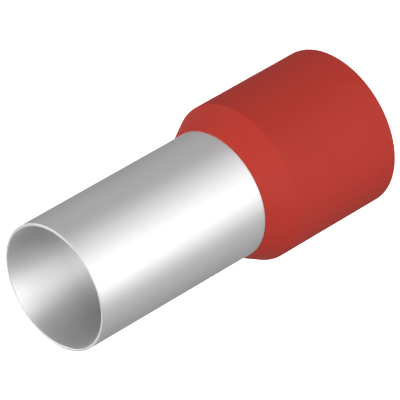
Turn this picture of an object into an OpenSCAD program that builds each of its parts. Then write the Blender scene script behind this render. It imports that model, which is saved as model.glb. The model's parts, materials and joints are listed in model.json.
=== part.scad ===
// Insulated wire-end ferrule: a thin drawn metal sleeve, flared at its wire
// end, held in a moulded plastic collar that covers the wire's insulation.
// It stands on the collar's open end, with the sleeve's mouth up, and its
// axis is Z. All sizes are in millimetres.

/* [Metal sleeve] */
// Bore of the sleeve, which takes the stripped conductor
sleeve_bore = 14.7; // [13:0.1:15.6]
// Wall of the drawn sleeve
sleeve_wall = 0.35; // [0.25:0.05:0.6]
// Length of bare sleeve in front of the collar
contact_length = 25; // [12:0.5:36]
// Radius on both edges of the mouth's rim
mouth_round = 0.08; // [0.02:0.01:0.1]

/* [Flared end] */
// Gap between the flare's rim and the bore of the collar
flare_gap = 0.2; // [0.1:0.05:0.6]
// Length of straight sleeve inside the collar's neck, before it starts to flare
neck_length = 0.1; // [0.05:0.05:0.2]

/* [Plastic collar] */
// Bore of the collar, which takes the wire's insulation
collar_bore = 18; // [17.4:0.1:20]
// Wall of the collar
collar_wall = 0.6; // [0.4:0.05:1]
// Length of the collar, with its cone
collar_length = 19; // [12:0.5:30]
// Length of the cone at the collar's front
cone_length = 3.3; // [2.5:0.1:5]
// Thickness of the collar's front edge, where the cone ends on the sleeve
front_edge = 0.1; // [0.05:0.01:0.3]
// Radius between the cone and the round body
shoulder_round = 0.3; // [0.1:0.1:1.5]
// Radius between the sleeve's seat and the collar's bore
seat_round = 0.3; // [0.1:0.05:0.6]
// Chamfer that leads the wire into the collar's bore
lead_in = 0.15; // [0.05:0.05:0.2]
// Radius on the outer edge of the collar's open end
rear_round = 0.1; // [0.05:0.05:0.15]

/* [Hidden] */

// Facets in a full turn of the pieces, and in a full circle of their roundings
$fn = 96;
arc_fn = 48;

// Colours of the plated sleeve and of the collar
tin = [0.82, 0.82, 0.83];
red = [0.72, 0.25, 0.20];

// The radii that both pieces are built on
bore_r = sleeve_bore / 2;
sleeve_r = bore_r + sleeve_wall;
collar_bore_r = collar_bore / 2;
collar_r = collar_bore_r + collar_wall;
flare_r = collar_bore_r - flare_gap;

// Heights above the collar's open end
shoulder_z = collar_length - cone_length;
mouth_z = collar_length + contact_length;

// The cone's angle to the axis. The seat inside it runs parallel to it, one
// collar wall deeper, and the sleeve's flare lies on that seat.
cone_angle = atan((collar_r - sleeve_r - front_edge) / cone_length);

// Height at radius r of the seat, or of a face that lies depth below it
function seat_z(r, depth = 0) =
    shoulder_z + (collar_r - r - (collar_wall + depth) / cos(cone_angle)) / tan(cone_angle);

// Radius of the trumpet-shaped bend, on the sleeve's outside. It carries the
// sleeve from the neck to the seat.
flare_bend = (collar_length - neck_length - seat_z(sleeve_r)) / tan(cone_angle / 2);

function unit(v) = v / norm(v);

// Positive where the path a-b-c turns left
function turn(a, b, c) = cross(b - a, c - b);

// What lies between the corner b of a-b-c and the arc of radius r inside it.
// The piece runs past both edges, and the arc is a hair larger than r, so that
// it crosses each edge cleanly instead of grazing it.
module corner_piece(a, b, c, r) {
    overrun = 0.05;
    hair = 0.0002;
    to_a = unit(a - b);
    to_c = unit(c - b);
    half = acos(to_a * to_c) / 2;
    reach = r / tan(half);
    centre = b + unit(to_a + to_c) * r / sin(half);
    kite = [b, b + to_a * reach, centre, b + to_c * reach];
    translate(centre) difference() {
        polygon([for (p = kite) (p - centre) * (1 + overrun / r)]);
        circle(r + hair, $fn = arc_fn);
    }
}

// An outline with a radius at each corner, 0 where the corner stays sharp.
// The corners run anticlockwise. A convex one is cut back, a hollow one filled.
module rounded_outline(points, radii) {
    last = len(points) - 1;
    module corner_pieces(sign) {
        for (i = [0:last]) {
            a = points[i == 0 ? last : i - 1];
            b = points[i];
            c = points[i == last ? 0 : i + 1];
            if (radii[i] > 0 && sign * turn(a, b, c) > 0) corner_piece(a, b, c, radii[i]);
        }
    }
    difference() {
        union() {
            polygon(points);
            corner_pieces(-1);
        }
        corner_pieces(1);
    }
}

// Drawn tube with a square-cut mouth. Its wire end is belled out on the
// collar's seat, so that no strand catches and the collar can't slide off.
module metal_sleeve() {
    rim = [flare_r, seat_z(flare_r)];
    rim_inside = rim - sleeve_wall * [cos(cone_angle), sin(cone_angle)];
    color(tin) rotate_extrude() rounded_outline(
        [
            rim_inside,
            rim,
            [sleeve_r, seat_z(sleeve_r)],
            [sleeve_r, mouth_z],
            [bore_r, mouth_z],
            [bore_r, seat_z(bore_r, sleeve_wall)]
        ],
        [0, 0, flare_bend, mouth_round, mouth_round, flare_bend + sleeve_wall]
    );
}

// Moulded collar: a cone that thins out on the sleeve, a round body over the
// insulation, and inside it the bore, the sleeve's seat and the neck.
module insulating_collar() {
    color(red) rotate_extrude() rounded_outline(
        [
            [collar_bore_r + lead_in, 0],
            [collar_r, 0],
            [collar_r, shoulder_z],
            [sleeve_r + front_edge, collar_length],
            [sleeve_r, collar_length],
            [sleeve_r, seat_z(sleeve_r)],
            [collar_bore_r, seat_z(collar_bore_r)],
            [collar_bore_r, lead_in]
        ],
        [0, rear_round, shoulder_round, 0, 0, flare_bend, seat_round, 0]
    );
}

metal_sleeve();
insulating_collar();
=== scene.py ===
"""An insulated wire-end ferrule for a thick stranded conductor. It stands on its collar."""
import json
import math

import bmesh
import bpy
from mathutils import Matrix, Vector


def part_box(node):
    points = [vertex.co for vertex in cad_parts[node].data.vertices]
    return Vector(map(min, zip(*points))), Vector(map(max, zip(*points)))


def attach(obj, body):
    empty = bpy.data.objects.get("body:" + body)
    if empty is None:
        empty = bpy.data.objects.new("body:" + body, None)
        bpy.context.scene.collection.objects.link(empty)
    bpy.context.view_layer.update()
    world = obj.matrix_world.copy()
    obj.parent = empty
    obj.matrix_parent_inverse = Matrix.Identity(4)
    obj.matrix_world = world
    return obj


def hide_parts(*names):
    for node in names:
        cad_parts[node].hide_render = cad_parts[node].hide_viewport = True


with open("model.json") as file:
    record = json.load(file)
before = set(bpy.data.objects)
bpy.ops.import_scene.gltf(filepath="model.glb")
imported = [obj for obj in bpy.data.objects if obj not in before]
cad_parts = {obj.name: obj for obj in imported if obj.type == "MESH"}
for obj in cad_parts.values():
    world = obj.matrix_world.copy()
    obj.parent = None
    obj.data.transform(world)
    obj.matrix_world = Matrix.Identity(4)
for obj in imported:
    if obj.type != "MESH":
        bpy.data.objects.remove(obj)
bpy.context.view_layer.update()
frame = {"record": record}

# ---- Tinned sleeve ------------------------------------------------------------------------
# A seamless copper tube with a thin wall, cut square at the mouth and tin plated to a dull
# shine that still shows the lengthwise marks of drawing. A trumpet-shaped punch has belled
# out its wire end, so that no strand catches there, and the bell holds it in the collar.

MM = 0.001
sizes = {mount["name"]: mount["dims"] for mount in frame["record"]["mounts"]}
sleeve_r = sizes["terminal_barrel"]["r_mm"] * MM
bore_r = sizes["conductor_bore"]["r_mm"] * MM
collar_bore = sizes["insulation_bore"]["r_mm"] * MM
flare_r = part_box("metal_sleeve")[1].x
mouth_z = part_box("metal_sleeve")[1].z
collar_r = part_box("insulating_collar")[1].x
front_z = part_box("insulating_collar")[1].z
sleeve_wall = sleeve_r - bore_r
collar_wall = collar_r - collar_bore
cone_length = 3.3 * MM
front_edge = 0.1 * MM
neck_length = 0.1 * MM
shoulder_z = front_z - cone_length
cone_angle = math.atan((collar_r - sleeve_r - front_edge) / cone_length)


def seat_height(radius, depth=0.0):
    """Height at that radius of the collar's seat, or of a face that lies depth below it."""
    across = (collar_wall + depth) / math.cos(cone_angle)
    return shoulder_z + (collar_r - radius - across) / math.tan(cone_angle)


def turned(name, corners, around=256):
    """A piece turned about Z. A corner of its section is a radius, a height, the length of
    edge that its rounding takes, and the steps in that rounding."""
    bm = bmesh.new()
    verts = [bm.verts.new((radius, 0, height)) for radius, height, _, _ in corners]
    for start, end in zip(verts, verts[1:] + verts[:1]):
        bm.edges.new((start, end))
    for vert, (_, _, reach, steps) in zip(verts, corners):
        if reach:
            bmesh.ops.bevel(bm, geom=[vert], offset=reach, offset_type="OFFSET", segments=steps,
                            profile=0.5, material=-1, affect="VERTICES")
    bmesh.ops.spin(bm, geom=bm.verts[:] + bm.edges[:], cent=(0, 0, 0), axis=(0, 0, 1),
                   angle=2 * math.pi, steps=around, use_merge=True)
    bmesh.ops.recalc_face_normals(bm, faces=bm.faces)
    mesh = bpy.data.meshes.new(name)
    bm.to_mesh(mesh)
    bm.free()
    mesh.polygons.foreach_set("use_smooth", [True] * len(mesh.polygons))
    mesh.set_sharp_from_angle(angle=math.radians(40))
    piece = bpy.data.objects.new(name, mesh)
    bpy.context.scene.collection.objects.link(piece)
    weighted = piece.modifiers.new("even_shading", "WEIGHTED_NORMAL")
    weighted.keep_sharp = True
    return piece


class Field:
    """A value that varies over a surface. Arithmetic on it adds the nodes that work it out."""

    def __init__(self, tree, socket=None):
        self.tree = tree
        self.socket = socket

    def node(self, kind, sockets, settings=None, output=0):
        """Adds a node of that kind, sets its settings first and then its sockets."""
        node = self.tree.nodes.new("ShaderNode" + kind)
        for key, value in (settings or {}).items():
            setattr(node, key, value)
        for key, value in sockets.items():
            if isinstance(value, Field):
                self.tree.links.new(value.socket, node.inputs[key])
            else:
                node.inputs[key].default_value = value
        return Field(self.tree, node.outputs[output])

    def math(self, operation, first, second):
        return self.node("Math", {0: first, 1: second}, {"operation": operation})

    def __add__(self, other):
        return self.math("ADD", self, other)

    def __mul__(self, other):
        return self.math("MULTIPLY", self, other)

    __radd__ = __add__
    __rmul__ = __mul__


def principled(name, **constants):
    """A material with those settings on its shader, and a field to build its pattern from."""
    material = bpy.data.materials.new(name)
    material.use_nodes = True
    shader = material.node_tree.nodes["Principled BSDF"]
    for socket, value in constants.items():
        shader.inputs[socket.replace("_", " ")].default_value = value
    return material, shader, Field(material.node_tree)


bend_steps = 12
round_steps = 4
bend = front_z - neck_length - seat_height(sleeve_r)
inner_bend = bend + sleeve_wall * math.tan(cone_angle / 2)
mouth_round = 0.08 * MM
rim_z = seat_height(flare_r)
sleeve = turned("tinned_sleeve", [
    (flare_r - sleeve_wall * math.cos(cone_angle),
     rim_z - sleeve_wall * math.sin(cone_angle), 0, 0),
    (flare_r, rim_z, 0, 0),
    (sleeve_r, seat_height(sleeve_r), bend, bend_steps),
    (sleeve_r, mouth_z, mouth_round, round_steps),
    (bore_r, mouth_z, mouth_round, round_steps),
    (bore_r, seat_height(bore_r, sleeve_wall), inner_bend, bend_steps),
])

dull_tin = (0.74, 0.74, 0.745, 1)
fresh_tin = (0.82, 0.82, 0.825, 1)
# Dark grey painted shade that the bore's inner wall takes on deep down.
painted_shade_tin = (0.44, 0.45, 0.455, 1)
painted_shade_full_at = mouth_z - 8 * MM
mark_depth = 0.0015 * MM
tin, shader, field = principled("tin_plate", Metallic=1.0, IOR=1.45)
place = field.node("TexCoord", {}, output="Object")
along = field.node("Mapping", {"Vector": place, "Scale": (1, 1, 0.012)})
streaks = field.node("TexNoise", {"Vector": along, "Scale": 3200, "Detail": 3, "Roughness": 0.6})
bands = field.node("TexNoise", {"Vector": along, "Scale": 500, "Detail": 1})
crystals = field.node("TexNoise", {"Vector": place, "Scale": 5000, "Detail": 2})
clouds = field.node("TexNoise", {"Vector": place, "Scale": 260, "Detail": 2})
shade = streaks * 0.5 + bands * 0.25 + clouds * 0.25
flat = field.node("Mapping", {"Vector": place, "Scale": (1, 1, 0)})
radius = field.node("VectorMath", {0: flat}, {"operation": "LENGTH"}, output="Value")
# The bore's inner wall darkens from the mouth to 8 mm down: painted shade for the shade that falls deep
# in the bore.
inside = radius.math("LESS_THAN", radius, (bore_r + sleeve_r) / 2)
height = field.node("SeparateXYZ", {"Vector": place}, output="Z")
painted_shade_depth = field.node("MapRange", {"Value": height, "From Min": mouth_z, "From Max": painted_shade_full_at})
bright = field.node("Mix", {0: shade, 6: dull_tin, 7: fresh_tin},
                    {"data_type": "RGBA"}, output=2)
colour = field.node("Mix", {0: inside * painted_shade_depth, 6: bright, 7: painted_shade_tin},
                    {"data_type": "RGBA"}, output=2)
rough = 0.40 + 0.08 * streaks + 0.06 * crystals + 0.04 * clouds
relief = streaks + 0.6 * crystals
bump = field.node("Bump", {"Height": relief, "Strength": 1.0, "Distance": mark_depth})
tin.node_tree.links.new(colour.socket, shader.inputs["Base Color"])
tin.node_tree.links.new(rough.socket, shader.inputs["Roughness"])
tin.node_tree.links.new(bump.socket, shader.inputs["Normal"])
sleeve.data.materials.append(tin)
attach(sleeve, "root")
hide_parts("metal_sleeve")

# ---- Insulating collar --------------------------------------------------------------------
# One moulding of red polypropylene with a satin grain. Its cone thins out on the sleeve and
# its straight body covers the wire's insulation. It is pressed on from the mouth's side,
# until the seat inside its cone lies on the sleeve's bell.

lead_in = 0.15 * MM
rear_round = 0.1 * MM
corner_round = 0.3 * MM * math.tan(cone_angle / 2)
collar = turned("collar", [
    (collar_bore + lead_in, 0, 0, 0),
    (collar_r, 0, rear_round, round_steps),
    (collar_r, shoulder_z, corner_round, round_steps),
    (sleeve_r + front_edge, front_z, 0, 0),
    (sleeve_r, front_z, 0, 0),
    (sleeve_r, seat_height(sleeve_r), bend, bend_steps),
    (collar_bore, seat_height(collar_bore), corner_round, round_steps),
    (collar_bore, lead_in, 0, 0),
])

dark_red = (0.38, 0.030, 0.020, 1)
light_red = (0.44, 0.036, 0.024, 1)
grain_depth = 0.004 * MM
red, shader, field = principled("red_polypropylene", Metallic=0.0, IOR=1.49,
                                Specular_IOR_Level=0.15)
place = field.node("TexCoord", {}, output="Object")
grain = field.node("TexNoise", {"Vector": place, "Scale": 7000, "Detail": 3, "Roughness": 0.55})
flow = field.node("TexNoise", {"Vector": place, "Scale": 220, "Detail": 2})
colour = field.node("Mix", {0: 0.7 * flow + 0.3 * grain, 6: dark_red, 7: light_red},
                    {"data_type": "RGBA"}, output=2)
rough = 0.50 + 0.12 * grain + 0.06 * flow
bump = field.node("Bump", {"Height": grain, "Strength": 1.0, "Distance": grain_depth})
red.node_tree.links.new(colour.socket, shader.inputs["Base Color"])
red.node_tree.links.new(rough.socket, shader.inputs["Roughness"])
red.node_tree.links.new(bump.socket, shader.inputs["Normal"])
collar.data.materials.append(red)
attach(collar, "root")
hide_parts("insulating_collar")

# ---- Floor --------------------------------------------------------------------------------
# A plain light table: a white sheet that glows evenly, so that no shadow shows on it, and
# that lets through the light of the lamps below its level.

bm = bmesh.new()
bmesh.ops.create_grid(bm, x_segments=1, y_segments=1, size=3.0)
floor_mesh = bpy.data.meshes.new("floor")
bm.to_mesh(floor_mesh)
bm.free()
floor = bpy.data.objects.new("floor", floor_mesh)
bpy.context.scene.collection.objects.link(floor)
white, _, _ = principled("white_floor", Base_Color=(0.9, 0.9, 0.9, 1), Roughness=1.0,
                         Emission_Color=(1, 1, 1, 1), Emission_Strength=1.0)
floor.data.materials.append(white)
floor.visible_glossy = False
floor.visible_diffuse = False
floor.visible_shadow = False

# ---- Camera -------------------------------------------------------------------------------
# A long lens that looks down on the mouth, rolled so that the ferrule lies across the frame.
# The middle of the mouth is placed in the camera's own axes, right, up and backwards.

elevation = math.radians(35.25)
roll = math.radians(-119.92)
camera_data = bpy.data.cameras.new("camera")
camera_data.sensor_width = 36
camera_data.lens = 428.5
camera_data.clip_start = 0.01
camera = bpy.data.objects.new("camera", camera_data)
bpy.context.scene.collection.objects.link(camera)
turn = Matrix.Rotation(math.pi / 2 - elevation, 3, "X") @ Matrix.Rotation(roll, 3, "Z")
mouth_in_view = Vector((-15.89, -9.55, -517.5)) * MM
stand = Vector((0, 0, mouth_z)) - turn @ mouth_in_view
camera.matrix_world = Matrix.Translation(stand) @ turn.to_4x4()
bpy.context.scene.camera = camera

# ---- Light --------------------------------------------------------------------------------
# An even grey room. Softboxes in front, at both sides and behind are seen in the sleeve and on
# its rim, and lamps in front, at one side and overhead light the collar. Three small lamps
# under its open end light the bore.


def lamp(name, azimuth, height, width, drop, radiance, distance=0.7):
    """A softbox of that width and drop that faces the ferrule. Its azimuth and height are in
    degrees, and azimuth runs from the camera's side towards -X."""
    data = bpy.data.lights.new(name, "AREA")
    data.shape = "RECTANGLE"
    data.size = width
    data.size_y = drop
    data.energy = radiance * math.pi * width * drop
    box = bpy.data.objects.new(name, data)
    bpy.context.scene.collection.objects.link(box)
    turned_by, raised = math.radians(azimuth), math.radians(height)
    out = Vector((-math.sin(turned_by) * math.cos(raised),
                  -math.cos(turned_by) * math.cos(raised), math.sin(raised)))
    box.location = Vector((0, 0, mouth_z / 2)) + out * distance
    box.rotation_euler = out.to_track_quat("Z", "Y").to_euler()
    box.visible_camera = False


# Name, azimuth, height, width, drop and radiance.
lamp("wide_softbox", 5, -30, 1.8, 0.4, 1.26)
lamp("front_lamp", 22, 0, 0.4, 0.3, 7.37)
lamp("top_lamp", 15, 60, 0.3, 0.3, 3.1)
lamp("side_lamp", -100, 40, 0.4, 0.4, 5.7)
lamp("crown_lamp", 0, 85, 0.3, 0.3, 5.85)
lamp("back_softbox", 180, 15, 1.2, 0.9, 0.575)
lamp("left_softbox", 95, -30, 0.6, 0.4, 0.238)
lamp("right_softbox", -95, -30, 0.6, 0.4, 0.226)


clear_of_edge = 1 * MM


def bore_lamp(name, azimuth, tilt, power):
    """A narrow lamp just under the collar's open end, tilted by that many degrees."""
    data = bpy.data.lights.new(name, "AREA")
    data.shape = "DISK"
    data.size = 1.8 * collar_bore
    data.energy = power
    data.spread = math.radians(20)
    disc = bpy.data.objects.new(name, data)
    bpy.context.scene.collection.objects.link(disc)
    turned_by, leaning = math.radians(azimuth), math.radians(tilt)
    under = Vector((-math.sin(turned_by) * math.sin(leaning),
                    -math.cos(turned_by) * math.sin(leaning), -math.cos(leaning)))
    disc.location = (0, 0, -clear_of_edge - collar_bore * math.sin(leaning))
    disc.rotation_euler = under.to_track_quat("Z", "Y").to_euler()
    disc.visible_camera = False


bore_lamp("bore_lamp_front", 30, 12, 0.00192)
bore_lamp("bore_lamp_back", 180, 12, 0.00116)
bore_lamp("bore_lamp_side", 90, 20, 0.000511)

room_grey = 0.252
world = bpy.data.worlds.new("room")
world.use_nodes = True
world.node_tree.nodes["Background"].inputs["Color"].default_value = (room_grey, room_grey, room_grey, 1)
bpy.context.scene.world = world
bpy.context.scene.view_settings.view_transform = "Standard"
